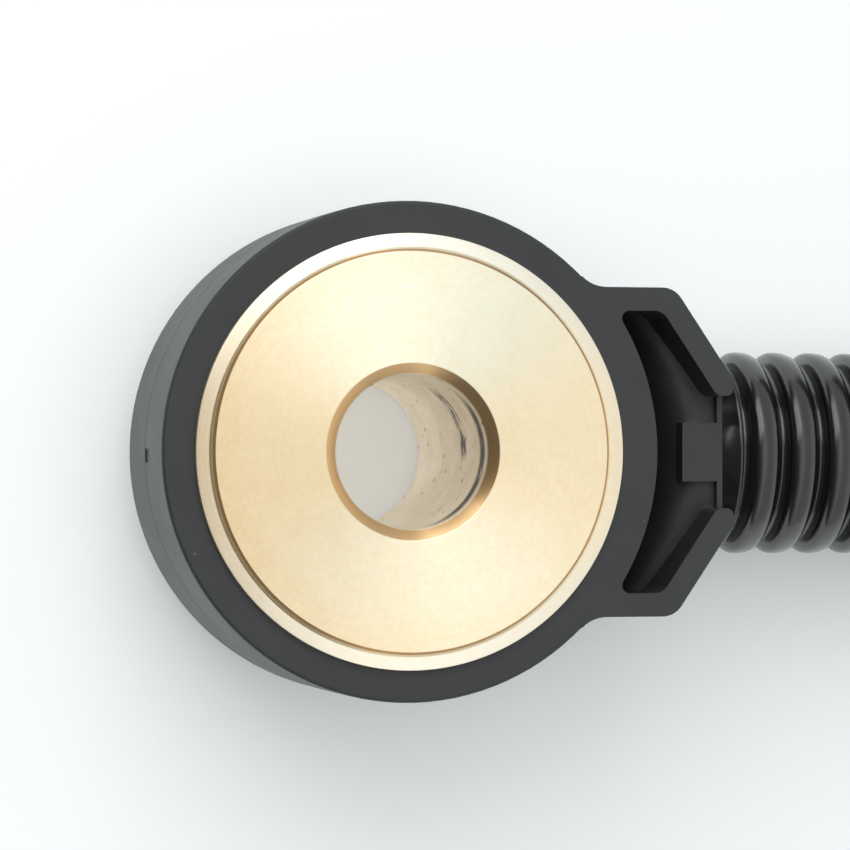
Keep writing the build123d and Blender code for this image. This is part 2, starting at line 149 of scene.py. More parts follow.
# The camera was fitted to the photo: its turn and nod off the bore's axis in degrees, what it
# looks at and from how far in millimetres, and its focal length in pixels
CAMERA_TURN = -12.9464
CAMERA_NOD = 0.6595
CAMERA_AIM = (0.606, 1.456, 0.156)
CAMERA_DISTANCE = 215
FOCAL_PIXELS = 3929.52
PICTURE_PIXELS = 850
SENSOR_WIDTH = 36.0

# Tones that lie over the main colours, among them painted shade and a painted highlight

RUBBED = (0.97, 0.9, 0.74, 1)
PITTED = (0.35, 0.2, 0.08, 1)
PALE_FLANGE_AND_HIGHLIGHT = (0.96, 0.93, 0.84, 1)
PAINTED_STEP_SHADE = (0.42, 0.2, 0.05, 1)
CHAMFER_STAIN = (0.62, 0.34, 0.11, 1)
BORE_LIGHT = (0.93, 0.85, 0.69, 1)
BORE_DARK = (0.78, 0.67, 0.5, 1)
GRIME = (0.06, 0.04, 0.028, 1)
FOOT_SHADE = (0.1, 0.07, 0.04, 1)
DUST = (0.42, 0.42, 0.4, 1)
CONDUIT_DUST = (0.35, 0.35, 0.35, 1)
SKY = (0.985, 0.995, 1, 1)

# Finishes of the pieces inside: light, dark, metallic, roughness, scale of the mottle, bump in mm
FINISHES = {
    "sheet_brass": ((0.78, 0.58, 0.3), (0.68, 0.47, 0.2), 1.0, 0.3, 200.0, 0.004),
    "amber_film": ((0.75, 0.4, 0.1), (0.65, 0.3, 0.06), 0.0, 0.3, 150.0, 0.003),
    "white_sleeve": ((0.8, 0.79, 0.75), (0.7, 0.69, 0.65), 0.0, 0.45, 150.0, 0.004),
    "fired_ceramic": ((0.5, 0.46, 0.38), (0.4, 0.36, 0.3), 0.0, 0.6, 300.0, 0.01),
    "ground_steel": ((0.55, 0.56, 0.57), (0.42, 0.43, 0.44), 1.0, 0.3, 260.0, 0.005),
    "blued_spring_steel": ((0.28, 0.29, 0.33), (0.2, 0.2, 0.24), 1.0, 0.35, 200.0, 0.004),
    "chip_body": ((0.03, 0.03, 0.035), (0.02, 0.02, 0.02), 0.0, 0.4, 500.0, 0.004),
    "tinned_crimp": ((0.72, 0.72, 0.7), (0.58, 0.58, 0.57), 1.0, 0.32, 400.0, 0.006),
    "seal_rubber": ((0.75, 0.2, 0.03), (0.62, 0.14, 0.02), 0.0, 0.5, 300.0, 0.008),
    "white_insulation": ((0.75, 0.74, 0.7), (0.66, 0.65, 0.6), 0.0, 0.4, 150.0, 0.004),
    "black_insulation": ((0.02, 0.02, 0.02), (0.014, 0.014, 0.015), 0.0, 0.4, 150.0, 0.004),
    "grey_jacket": ((0.1, 0.1, 0.105), (0.075, 0.075, 0.08), 0.0, 0.45, 150.0, 0.006),
}
FINISH_OF_NODE = {
    "front_electrode": "sheet_brass",
    "rear_electrode": "sheet_brass",
    "front_insulator": "amber_film",
    "rear_insulator": "amber_film",
    "shank_sleeve": "white_sleeve",
    "piezo_ring": "fired_ceramic",
    "seismic_mass": "ground_steel",
    "ring_nut": "ground_steel",
    "spring_washer": "blued_spring_steel",
    "load_resistor": "chip_body",
    "crimp_terminal_a": "tinned_crimp",
    "crimp_terminal_b": "tinned_crimp",
    "plug_pin_a": "tinned_crimp",
    "plug_pin_b": "tinned_crimp",
    "plug_seal_a": "seal_rubber",
    "plug_seal_b": "seal_rubber",
    "lead_core_a": "white_insulation",
    "lead_core_b": "black_insulation",
    "lead_jacket": "grey_jacket",
}


# Sizes and colours that a user would change

class SensorSizes(bpy.types.PropertyGroup):
    edge_round: bpy.props.FloatProperty(
        name="Core edge", description="Rounding on the turned core's edges",
        default=0.04 * MM, unit="LENGTH", precision=5)
    housing_edge: bpy.props.FloatProperty(
        name="Housing edge", description="Rounding on the moulded housing's sharp edges",
        default=0.14 * MM, unit="LENGTH", precision=5)
    turn_steps: bpy.props.IntProperty(
        name="Turned steps", description="Faces round the turned core",
        default=256, min=32, max=512)
    conduit_steps: bpy.props.IntProperty(
        name="Conduit steps", description="Faces round the conduit",
        default=44, min=12, max=96)
    conduit_radius: bpy.props.FloatProperty(
        name="Conduit radius", description="From the lead's line to a rib's crest",
        default=5.85 * MM, unit="LENGTH", precision=5)
    conduit_bore: bpy.props.FloatProperty(
        name="Conduit bore", description="Radius inside the conduit",
        default=4.35 * MM, unit="LENGTH", precision=5)
    rib_pitch: bpy.props.FloatProperty(
        name="Rib pitch", description="Distance from rib to rib along the conduit",
        default=2.24 * MM, unit="LENGTH", precision=6)


class SensorColours(bpy.types.PropertyGroup):
    brass_light: bpy.props.FloatVectorProperty(
        name="Brass, clean", description="Freshly faced brass", subtype="COLOR",
        size=3, min=0, max=1, default=(0.94, 0.80, 0.55))
    # This colour is a painted highlight, laid on the top and bottom of the contact face
    brass_painted_highlight: bpy.props.FloatVectorProperty(
        name="Brass, highlit", description="Brass rubbed pale by handling", subtype="COLOR",
        size=3, min=0, max=1, default=(0.83, 0.81, 0.65))
    # Laid for stains, and also as painted shade towards the left and bottom of the face
    brass_deep: bpy.props.FloatVectorProperty(
        name="Brass, stained", description="Brass where it has darkened", subtype="COLOR",
        size=3, min=0, max=1, default=(0.82, 0.60, 0.32))
    moulding: bpy.props.FloatVectorProperty(
        name="Moulding", description="Glass-filled black moulding", subtype="COLOR",
        size=3, min=0, max=1, default=(0.026, 0.029, 0.031))
    conduit: bpy.props.FloatVectorProperty(
        name="Conduit", description="Glossy black corrugated conduit", subtype="COLOR",
        size=3, min=0, max=1, default=(0.006, 0.007, 0.007))
    floor: bpy.props.FloatVectorProperty(
        name="Floor", description="Pale floor", subtype="COLOR",
        size=3, min=0, max=1, default=(0.925, 0.955, 0.955))


# Node wiring

class Wiring:
    """Adds nodes to one node tree and links them."""

    def __init__(self, tree):
        self.tree = tree

    def feed(self, socket, value):
        """Links another node's output to the socket, or sets the socket's own value."""
        if isinstance(value, bpy.types.NodeSocket):
            self.tree.links.new(value, socket)
        else:
            socket.default_value = value

    def node(self, kind, inputs=None, **settings):
        node = self.tree.nodes.new(kind)
        for name, value in settings.items():
            setattr(node, name, value)
        for key, value in (inputs or {}).items():
            self.feed(node.inputs[key], value)
        return node

    def plug_in(self, shader, **values):
        """Feeds the shader's sockets by their names, with underscores for spaces."""
        for key, value in values.items():
            self.feed(shader.inputs[key.replace("_", " ")], value)

    def group(self, name, **inputs):
        """Places a shared node group and returns its one output."""
        tree = bpy.data.node_groups[name]
        return self.node("ShaderNodeGroup", inputs, node_tree=tree).outputs[0]

    def maths(self, operation, a, b=0.0, clamp=False):
        inputs = {0: a, 1: b}
        return self.node("ShaderNodeMath", inputs, operation=operation, use_clamp=clamp).outputs[0]

    def plus(self, a, b, clamp=False):
        return self.maths("ADD", a, b, clamp)

    def minus(self, a, b):
        return self.maths("SUBTRACT", a, b)

    def times(self, a, b, clamp=False):
        return self.maths("MULTIPLY", a, b, clamp)

    def larger(self, a, b):
        return self.maths("MAXIMUM", a, b)

    def times_vector(self, a, b):
        return self.node("ShaderNodeVectorMath", {0: a, 1: b}, operation="MULTIPLY").outputs[0]

    def length(self, vector):
        return self.node("ShaderNodeVectorMath", {0: vector}, operation="LENGTH").outputs["Value"]

    def parts(self, vector):
        return self.node("ShaderNodeSeparateXYZ", {0: vector}).outputs

    def from_axis(self, place):
        """Distance from the bore's axis."""
        return self.length(self.times_vector(place, (1, 1, 0)))

    def ramp(self, value, low, high, out_low=0.0, out_high=1.0):
        """Maps low..high smoothly on out_low..out_high."""
        inputs = {
            "Value": value, "From Min": low, "From Max": high, "To Min": out_low, "To Max": out_high,
        }
        node = self.node("ShaderNodeMapRange", inputs, interpolation_type="SMOOTHSTEP")
        return node.outputs["Result"]

    def between(self, value, low, high, edge):
        """One where the value lies between low and high."""
        rise = self.ramp(value, low - edge, low + edge)
        fall = self.ramp(value, high - edge, high + edge, 1.0, 0.0)
        return self.times(rise, fall)

    def blend(self, factor, a, b):
        """Mixes two colours, for which the Mix node has its inputs 6 and 7 and its output 2."""
        inputs = {"Factor": factor, 6: a, 7: b}
        return self.node("ShaderNodeMix", inputs, data_type="RGBA").outputs[2]

    def choose(self, factor, a, b):
        """Mixes two numbers, for which the Mix node has its inputs 2 and 3 and its output 0."""
        return self.node("ShaderNodeMix", {0: factor, 2: a, 3: b}).outputs[0]

    def tint(self, ground, mask, share, tone):
        """Lays a share of a tone over the ground, where the mask is one."""
        return self.blend(self.times(mask, share), ground, tone)

    def object_place(self):
        return self.node("ShaderNodeTexCoord").outputs["Object"]

    def noise(self, vector, scale, detail=3.0, roughness=0.5):
        inputs = {"Vector": vector, "Scale": scale, "Detail": detail, "Roughness": roughness}
        return self.node("ShaderNodeTexNoise", inputs).outputs["Fac"]

    def bump(self, height, distance, strength=1.0):
        inputs = {"Height": height, "Distance": distance, "Strength": strength}
        return self.node("ShaderNodeBump", inputs).outputs["Normal"]


def colour(rgb):
    return (rgb[0], rgb[1], rgb[2], 1.0)


# Shared effects

def new_group(name, output, **inputs):
    """An empty shader node group that reads a Vector; returns its wiring, entry and exit."""
    tree = bpy.data.node_groups.new(name, "ShaderNodeTree")
    tree.interface.new_socket(name="Vector", in_out="INPUT", socket_type="NodeSocketVector")
    for socket, default in inputs.items():
        made = tree.interface.new_socket(name=socket, in_out="INPUT", socket_type="NodeSocketFloat")
        made.default_value = default
    tree.interface.new_socket(name=output, in_out="OUTPUT", socket_type="NodeSocketFloat")
    w = Wiring(tree)
    return w, w.node("NodeGroupInput").outputs, w.node("NodeGroupOutput").inputs[output]


def make_mottle_group():
    """Soft patches in two sizes, from none to full."""
    w, entry, leave = new_group("Mottle", "Mask", Scale=200.0, Contrast=0.2)
    broad = w.noise(entry["Vector"], entry["Scale"], 2.0)
    fine = w.noise(entry["Vector"], w.times(entry["Scale"], 5.0), 4.0, 0.6)
    mixed = w.plus(w.times(broad, 0.65), w.times(fine, 0.35))
    low = w.minus(0.5, entry["Contrast"])
    high = w.plus(0.5, entry["Contrast"])
    w.feed(leave, w.ramp(mixed, low, high))


def make_speck_group():
    """Sparse round specks of dust or small pits."""
    w, entry, leave = new_group("Specks", "Mask", Scale=900.0, Share=0.1, Size=0.18)
    inputs = {"Vector": entry["Vector"], "Scale": entry["Scale"]}
    cells = w.node("ShaderNodeTexVoronoi", inputs).outputs
    drawn = w.node("ShaderNodeSeparateColor", {"Color": cells["Color"]}).outputs
    chosen = w.maths("LESS_THAN", drawn[0], entry["Share"])
    size = w.times(entry["Size"], w.plus(drawn[1], 0.25))
    inside = w.maths("LESS_THAN", cells["Distance"], size)
    w.feed(leave, w.times(chosen, inside))


def make_turning_group():
    """Rings left by the facing tool: a height that changes with the radius alone."""
    w, entry, leave = new_group("Turning marks", "Height", Scale=9000.0, Waver=0.00004)
    waver = w.times(w.noise(entry["Vector"], 300.0, 2.0), entry["Waver"])
    line = w.plus(w.from_axis(entry["Vector"]), waver)
    inputs = {"W": line, "Scale": entry["Scale"], "Detail": 4.0, "Roughness": 0.7}
    rings = w.node("ShaderNodeTexNoise", inputs, noise_dimensions="1D").outputs["Fac"]
    w.feed(leave, rings)


def make_scratch_group():
    """Short fine scratches that run along one direction."""
    w, entry, leave = new_group("Scratches", "Mask", Scale=250.0, Angle=0.5, Share=0.3)
    inputs = {"Vector": entry["Vector"], "Axis": (0, 0, 1), "Angle": entry["Angle"]}
    turned = w.node("ShaderNodeVectorRotate", inputs, rotation_type="AXIS_ANGLE").outputs[0]
    lines = w.noise(w.times_vector(turned, (1, 26, 1)), entry["Scale"], 3.0, 0.65)
    limit = w.minus(0.78, w.times(entry["Share"], 0.1))
    w.feed(leave, w.times(w.minus(lines, limit), 30.0, clamp=True))


def make_grain_group():
    """The fine texture of a spark-eroded mould."""
    w, entry, leave = new_group("Mould grain", "Height", Scale=5000.0)
    small = w.noise(entry["Vector"], entry["Scale"], 3.0, 0.6)
    big = w.noise(entry["Vector"], w.times(entry["Scale"], 0.22), 2.0)
    w.feed(leave, w.plus(w.times(small, 0.7), w.times(big, 0.3)))


# Finishes

def new_material(name):
    material = bpy.data.materials.new(name)
    material.use_nodes = True
    material.node_tree.nodes.clear()
    w = Wiring(material.node_tree)
    shader = w.node("ShaderNodeBsdfPrincipled")
    w.node("ShaderNodeOutputMaterial", {"Surface": shader.outputs[0]})
    return material, w, shader


def face_tones(w, colours, place, radius, rings, mottle, scratches):
    """The contact face with its stains, scratches, painted highlight and painted shade, its step with
    painted shade, its chamfer, and the flange.
    """
    x, y, z = w.parts(place)
    toned = w.plus(w.times(mottle, 0.08), w.times(rings, 0.3))
    peel = w.times(w.ramp(w.noise(place, 2600.0, 3.0, 0.6), 0.35, 0.65), 0.18)
    toned = w.plus(toned, w.plus(peel, w.ramp(radius, 8.5 * MM, 11.0 * MM, -0.06, 0.06)))
    # Painted shade: the brass is laid deeper towards the left and the bottom of the face
    side = w.plus(w.times(x, -22.0), w.times(y, -16.0))
    stain_and_side_shade = w.plus(toned, w.plus(side, 0.02), clamp=True)
    # Painted highlight: paler brass on the top and bottom of the face
    highlight_sector = w.maths("DIVIDE", w.maths("ABSOLUTE", y), w.larger(radius, 0.1 * MM))
    light, pale = colour(colours.brass_light), colour(colours.brass_painted_highlight)
    highlit_face = w.blend(w.ramp(highlight_sector, 0.25, 0.95), light, pale)
    face = w.blend(stain_and_side_shade, highlit_face, colour(colours.brass_deep))

    pits = w.group("Specks", Vector=place, Scale=620.0, Share=0.05, Size=0.1)
    face = w.tint(face, scratches, 0.25, RUBBED)
    face = w.tint(face, pits, 0.6, PITTED)

    flange = w.ramp(radius, 11.15 * MM, 11.35 * MM)
    # The flange is laid paler all round, and paler still at the top and bottom as a painted highlight
    face = w.blend(w.times(w.plus(w.times(highlight_sector, 0.4), 0.16), flange), face, PALE_FLANGE_AND_HIGHLIGHT)
    # Painted shade on the slope of the face's step
    step = w.between(radius, 10.99 * MM, 11.13 * MM, 0.03 * MM)
    step = w.times(step, w.ramp(z, -0.5 * MM, -0.34 * MM))
    face = w.tint(face, step, 0.8, PAINTED_STEP_SHADE)
    chamfer = w.between(radius, 4.3 * MM, 4.86 * MM, 0.03 * MM)
    return w.tint(face, chamfer, 0.75, CHAMFER_STAIN)


def bore_tones(w, place):
    """The bore's dull wall, scuffed near the front and gouged further in."""
    x, y, z = w.parts(place)
    wall = w.group("Mottle", Vector=place, Scale=260.0, Contrast=0.2)
    dull = w.blend(wall, BORE_LIGHT, BORE_DARK)
    angle = w.maths("ARCTAN2", y, x)
    wrapped = w.node("ShaderNodeCombineXYZ", {0: w.times(angle, 1.2 * MM), 1: z}).outputs[0]
    smear = w.noise(wrapped, 1700.0, 5.0, 0.68)
    gouges = w.between(z, -6.6 * MM, -5.3 * MM, 0.3 * MM)
    gouges = w.times(gouges, w.between(angle, -0.05, 0.95, 0.12))
    gouges = w.times(gouges, w.ramp(smear, 0.44, 0.51))
    scuffs = w.between(z, -2.0 * MM, -0.95 * MM, 0.3 * MM)
    scuffs = w.times(scuffs, w.between(angle, -1.15, 0.75, 0.3))
    scuffs = w.times(scuffs, w.ramp(smear, 0.33, 0.44))
    spots = w.group("Specks", Vector=place, Scale=1300.0, Share=0.55, Size=0.17)
    tears = w.larger(w.larger(gouges, scuffs), w.times(spots, 0.6))
    return w.blend(tears, dull, GRIME)


def faced_brass(colours):
    """The core: faced and lightly scratched on the front with painted highlights and shade, a pale flange,
    a dull scuffed bore and a painted shadow at the bore's foot.
    """
    material, w, shader = new_material("faced_brass")
    place = w.object_place()
    radius = w.from_axis(place)
    mottle = w.group("Mottle", Vector=place, Scale=620.0, Contrast=0.28)
    rings = w.group("Turning marks", Vector=place, Scale=7000.0)
    scratch_a = w.group("Scratches", Vector=place, Scale=160.0, Angle=1.5, Share=0.5)
    scratch_b = w.group("Scratches", Vector=place, Scale=210.0, Angle=1.9, Share=0.2)
    scratches = w.larger(scratch_a, scratch_b)

    bore = w.ramp(radius, 4.27 * MM, 4.34 * MM, 1.0, 0.0)
    face = face_tones(w, colours, place, radius, rings, mottle, scratches)
    base = w.blend(bore, face, bore_tones(w, place))
    painted_at_foot = w.ramp(w.parts(place)[2], -17.7 * MM, -17.5 * MM, 1.0, 0.0)
    base = w.blend(painted_at_foot, base, FOOT_SHADE)

    height = w.minus(rings, w.times(scratches, 0.6))
    rough = w.plus(w.plus(w.times(mottle, 0.03), 0.3), w.times(bore, 0.08))
    metal = w.minus(1.0, w.times(bore, 0.15))
    tangent = w.node("ShaderNodeTangent", direction_type="RADIAL", axis="Z").outputs[0]
    w.plug_in(shader, Base_Color=base, Metallic=metal, Roughness=rough, Anisotropic=0.75,
              Anisotropic_Rotation=0.25, Tangent=tangent, Normal=w.bump(height, 0.006 * MM, 0.6))
    return material


def moulded_plastic(name, base, roughness, grain, dust):
    """Black moulding with fine mould grain, slight cloudiness and a little dust."""
    material, w, shader = new_material(name)
    place = w.object_place()
    cloud = w.group("Mottle", Vector=place, Scale=150.0, Contrast=0.25)
    deep = [channel * 0.8 for channel in base]
    pale = [channel * 1.2 for channel in base]
    specks = w.group("Specks", Vector=place, Scale=1500.0, Share=dust, Size=0.075)
    body = w.tint(w.blend(cloud, colour(deep), colour(pale)), specks, 0.5, DUST)
    height = w.group("Mould grain", Vector=place, Scale=grain)
    rough = w.plus(w.times(cloud, 0.08), roughness)
    w.plug_in(shader, Base_Color=body, Roughness=rough, Normal=w.bump(height, 0.02 * MM, 0.5))
    return material


def glossy_conduit(base):
    """Smooth glossy black plastic, a little uneven, with a few specks of dust."""
    material, w, shader = new_material("glossy_conduit")
    place = w.object_place()
    cloud = w.group("Mottle", Vector=place, Scale=220.0, Contrast=0.2)
    specks = w.group("Specks", Vector=place, Scale=500.0, Share=0.05, Size=0.07)
    body = w.tint(colour(base), specks, 0.5, CONDUIT_DUST)
    rough = w.plus(w.times(cloud, 0.07), 0.17)
    uneven = w.noise(place, 500.0, 2.0)
    w.plug_in(shader, Base_Color=body, Roughness=rough, Specular_IOR_Level=0.85,
              Normal=w.bump(uneven, 0.05 * MM, 0.4))
    return material


def plain_finish(name, light, dark, metallic, roughness, scale, bump):
    """A finish with small changes of tone and roughness, for the pieces inside."""
    material, w, shader = new_material(name)
    place = w.object_place()
    mottle = w.group("Mottle", Vector=place, Scale=scale, Contrast=0.2)
    height = w.group("Mould grain", Vector=place, Scale=scale * 12)
    body = w.blend(mottle, colour(light), colour(dark))
    rough = w.plus(w.times(mottle, 0.12), roughness)
    w.plug_in(shader, Base_Color=body, Metallic=metallic, Roughness=rough,
              Normal=w.bump(height, bump * MM, 0.5))
    return material


# Mesh helpers

def as_piece(name, bm, slot, material, *replaced):
    """Turns a bmesh into a piece of the object that stands for the CAD nodes."""
    mesh = bpy.data.meshes.new(name)
    bm.to_mesh(mesh)
    bm.free()
    mesh.shade_smooth()
    mesh.materials.append(material)
    piece = bpy.data.objects.new(name, mesh)
    bpy.context.scene.collection.objects.link(piece)
    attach(piece, "root")
    if replaced:
        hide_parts(*replaced)
    return piece


def dress(node, material):
    """Gives a CAD node its finish."""
    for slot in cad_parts[node].material_slots:
        slot.material = material


def even_normals(piece):
    """Keeps wide flat faces flat beside their small edge rounds."""
    modifier = piece.modifiers.new("even_normals", "WEIGHTED_NORMAL")
    modifier.weight = 100


def turn(profile, edge_round, steps):
    """Rounds the corners of a closed profile, then turns it about the bore's axis."""
    bm = bmesh.new()
    bm.faces.new([bm.verts.new((x * MM, 0, z * MM)) for x, z in profile])
    bmesh.ops.bevel(bm, geom=bm.verts[:], offset=edge_round, affect="VERTICES", segments=3,
                    profile=0.5, material=-1)
    bmesh.ops.delete(bm, geom=bm.faces[:], context="FACES_ONLY")
    bmesh.ops.spin(bm, geom=bm.verts[:] + bm.edges[:], cent=(0, 0, 0), axis=(0, 0, 1),
                   angle=math.tau, steps=steps, use_merge=True)
    bmesh.ops.recalc_face_normals(bm, faces=bm.faces[:])
    return bm


# Housing

def middle(face):
    """The face's middle in millimetres."""
    return face.calc_center_median() / MM


def split(bm, wanted, axis, places):
    """Cuts the wanted faces along planes across one axis."""
    normal = Vector([1.0 if index == axis else 0.0 for index in range(3)])
    for place in places:
        bm.normal_update()
        faces = [face for face in bm.faces if wanted(face)]
        edges = {edge for face in faces for edge in face.edges}
        verts = {vert for face in faces for vert in face.verts}
        bmesh.ops.bisect_plane(bm, geom=list(verts) + list(edges) + faces, dist=1e-8,
                               plane_co=normal * place * MM, plane_no=normal)


def smooth_stations(points, steps):
    """Returns stations along the one smooth curve that runs through a few points."""
    reach = [0.0]
    for first, second in zip(points, points[1:]):
        reach.append(reach[-1] + math.dist(first, second))
    stations = []
    for step in range(steps + 1):
        at = reach[-1] * step / steps
        station = Vector((0, 0))
        for point, own in zip(points, reach):
            others = [other for other in reach if other != own]
            station += math.prod((at - other) / (own - other) for other in others) * Vector(point)
        stations.append(tuple(station))
    return stations


def between_stations(table, value):
    """Reads a value off a table of stations."""
    for (a, low), (b, high) in zip(table, table[1:]):
        if value <= b:
            return low + (high - low) * max(value - a, 0) / (b - a)
    return table[-1][1]


def on_pocket_floor(face):
    place = middle(face)
    off_root = place.xy.length > POCKET_ROOT_RADIUS
    inside = off_root and place.x < POCKET_END_X and abs(place.y) < POCKET_HALF_WIDTH
    return inside and POCKET_Z[0] < place.z < POCKET_Z[1] and face.normal.z > POCKET_UPWARD


def smooth_pocket(bm):
    """Runs the pocket's ramp into its level part in one soft curve."""
    for axis, first, step, count in zip((ALONG_X, ALONG_Y), POCKET_FIRST_CUT, POCKET_CUT_STEP, POCKET_CUTS):
        split(bm, on_pocket_floor, axis, [first + step * cut for cut in range(count)])
    bm.normal_update()
    stations = smooth_stations((RAMP_FOOT, RAMP_RISE, RAMP_BROW, RAMP_END), RAMP_STEPS)
    for vertex in {vert for face in bm.faces if on_pocket_floor(face) for vert in face.verts}:
        place = vertex.co / MM
        ramp = between_stations(stations, place.xy.length)
        crown = math.sqrt(CROWN_RADIUS ** 2 - place.y ** 2) + CROWN_CENTRE_Z
        overlap = max(POCKET_BLEND - abs(ramp - crown), 0)
        vertex.co.z = (min(ramp, crown) - overlap ** 2 / (4 * POCKET_BLEND)) * MM


def core_profile():
    """Returns the core's half section: radius and height, from the front of the bore round."""
    mouth = BORE_RADIUS + BORE_CHAMFER
    groove_floor = FLANGE_RADIUS - GROOVE_DEPTH
    groove_foot = GROOVE_TOP - GROOVE_WIDTH
    return [
        (BORE_RADIUS, -BORE_CHAMFER_DEPTH), (mouth, 0), (CONTACT_RADIUS, 0),
        (CONTACT_RADIUS + CONTACT_SLOPE, -CONTACT_STEP), (FLANGE_RADIUS, -CONTACT_STEP),
        (FLANGE_RADIUS, GROOVE_TOP), (groove_floor, GROOVE_TOP), (groove_floor, groove_foot),
        (FLANGE_RADIUS, groove_foot), (FLANGE_RADIUS, FLANGE_FOOT), (SHANK_RADIUS, FLANGE_FOOT),
        (SHANK_RADIUS, CORE_END), (mouth, CORE_END), (BORE_RADIUS, CORE_END + BORE_CHAMFER_DEPTH),
    ]


def near_side(place):
    return abs(place.xy.length - SIDE_RADIUS) < 0.1 and place.x < SIDE_END_X


def on_side(face):
    place = middle(face)
    return near_side(place) and SIDE_FOOT < place.z < SIDE_TOP


def on_gate_strip(face):
    place = middle(face)
    return on_side(face) and place.x < -13.2 and -8 < place.z < -3


def mark_side(bm):
    """The mould's parting line round the body's side, and the small mark of its gate."""
    cuts = (PARTING_Z - PARTING_HALF_WIDTH, PARTING_Z, PARTING_Z + PARTING_HALF_WIDTH)
    split(bm, on_side, ALONG_Z, cuts)
    for vertex in bm.verts:
        place = vertex.co / MM
        if abs(place.z - PARTING_Z) < 0.001 and near_side(place):
            vertex.co.xy *= 1 - PARTING_DEPTH / BODY_RADIUS
    split(bm, on_gate_strip, ALONG_Z, GATE_Z)
    split(bm, on_gate_strip, ALONG_Y, GATE_Y)
    bm.normal_update()
    gate = []
    for face in bm.faces:
        place = middle(face)
        inside = GATE_Y[0] < place.y < GATE_Y[1] and GATE_Z[0] < place.z < GATE_Z[1]
        if inside and on_gate_strip(face):
            gate.append(face)
    bmesh.ops.inset_region(bm, faces=gate, thickness=GATE_RIM * MM, depth=-GATE_DEPTH * MM,
                           use_even_offset=True)


def shape_lug(bm):
    """Rounds the noses of the lug's wall and turns its lip down a little towards the lead."""
    noses = []
    for edge in bm.edges:
        a, b = edge.verts[0].co / MM, edge.verts[1].co / MM
        at_gap = abs(a.x - LUG_END_X) < 0.02 and abs(abs(a.y) - GAP_HALF_WIDTH) < 0.02
        if at_gap and (a.xy - b.xy).length < 0.01 and min(a.z, b.z) > NOSE_TOP:
            noses.append(edge)
    for vertex in bm.verts:
        place = vertex.co / MM
        on_lip = abs(place.x - LUG_END_X) < 0.01 and abs(place.z - LIP_Z) < 0.01
        if on_lip and abs(place.y) < GAP_HALF_WIDTH - 0.01:
            vertex.co.x += LIP_REACH * MM
            vertex.co.z -= LIP_TURN * MM
    bmesh.ops.bevel(bm, geom=noses, offset=NOSE_ROUND * MM, affect="EDGES", segments=5,
                    profile=0.5, material=-1)


def softened_housing(material, edge_round):
    """A merged copy of the CAD housing with its finer forms and its sharp edges rounded."""
    bm = bmesh.new()
    bm.from_mesh(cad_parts["sensor_housing"].data)
    bmesh.ops.remove_doubles(bm, verts=bm.verts[:], dist=0.0005 * MM)
    bmesh.ops.dissolve_limit(bm, angle_limit=math.radians(0.4), verts=bm.verts[:],
                             edges=bm.edges[:])
    smooth_pocket(bm)
    mark_side(bm)
    shape_lug(bm)
    piece = as_piece("moulded_housing", bm, "moulded_black", material, "sensor_housing")
    bevel = piece.modifiers.new("edges", "BEVEL")
    bevel.width = edge_round
    bevel.segments = 2
    bevel.limit_method = "ANGLE"
    bevel.angle_limit = math.radians(32)
    even_normals(piece)


# Lead

def lead_line():
    """Points along the lead's smooth line, and the distance of each from the start."""
    curve = bpy.data.curves.new("lead_line", "CURVE")
    curve.dimensions = "3D"
    spline = curve.splines.new("NURBS")
    spline.points.add(len(ROUTE) - 1)
    for point, place in zip(spline.points, ROUTE):
        point.co = (place[0] * MM, place[1] * MM, place[2] * MM, 1)
    spline.order_u = 3
    spline.use_endpoint_u = True
    spline.resolution_u = 60
    holder = bpy.data.objects.new("lead_line", curve)
    bpy.context.scene.collection.objects.link(holder)
    mesh = bpy.data.meshes.new_from_object(holder)
    points = [vertex.co.copy() for vertex in mesh.vertices]
    bpy.data.objects.remove(holder)
    bpy.data.meshes.remove(mesh)
    reach = [0.0]
    for before, after in zip(points, points[1:]):
        reach.append(reach[-1] + (after - before).length)
    return points, reach


def conduit_profile(sizes, length):
    """The conduit's half section: its cut end, its ribs, and its bore on the way back."""
    profile = [(0.0, sizes.conduit_bore)]
    for along, depth in CUT_END:
        profile.append((along * MM, sizes.conduit_radius - depth * MM))
    for rib in range(int(length / sizes.rib_pitch)):
        for along, depth in RIB:
            place = FIRST_RIB * MM + rib * sizes.rib_pitch + along * MM
            if 0.001 * MM < place < length - 0.001 * MM:
                profile.append((place, sizes.conduit_radius - depth * MM))
    profile.insert(1, (0.0, profile[1][1]))
    profile.append((length, profile[-1][1]))
    profile.append((length, sizes.conduit_bore))
    inner = int(length / (CONDUIT_BORE_STEP * MM))
    for index in range(inner - 1, 0, -1):
        profile.append((length * index / inner, sizes.conduit_bore))
    return profile


def lay_along(bm, points, reach):
    """Moves a straight tube along X onto the lead's line."""
    last = len(points) - 2
    up = Vector((0, 0, 1))
    frames = {}
    index = 0
    for distance in sorted({round(vertex.co.x, 9) for vertex in bm.verts}):
        while index < last and reach[index + 1] < distance:
            index += 1
        share = (distance - reach[index]) / (reach[index + 1] - reach[index])
        ahead = (points[index + 1] - points[index]).normalized()
        if index < last:
            after = (points[index + 2] - points[index + 1]).normalized()
            ahead = ahead.lerp(after, min(max(share, 0), 1) * 0.5).normalized()
        if index > 0:
            behind = (points[index] - points[index - 1]).normalized()
            ahead = ahead.lerp(behind, (1 - min(max(share, 0), 1)) * 0.5).normalized()
        side = up.cross(ahead).normalized()
        centre = points[index].lerp(points[index + 1], share)
        frames[distance] = (centre, side, ahead.cross(side))
    for vertex in bm.verts:
        centre, side, top = frames[round(vertex.co.x, 9)]
        vertex.co = centre + side * vertex.co.y + top * vertex.co.z


# Operators

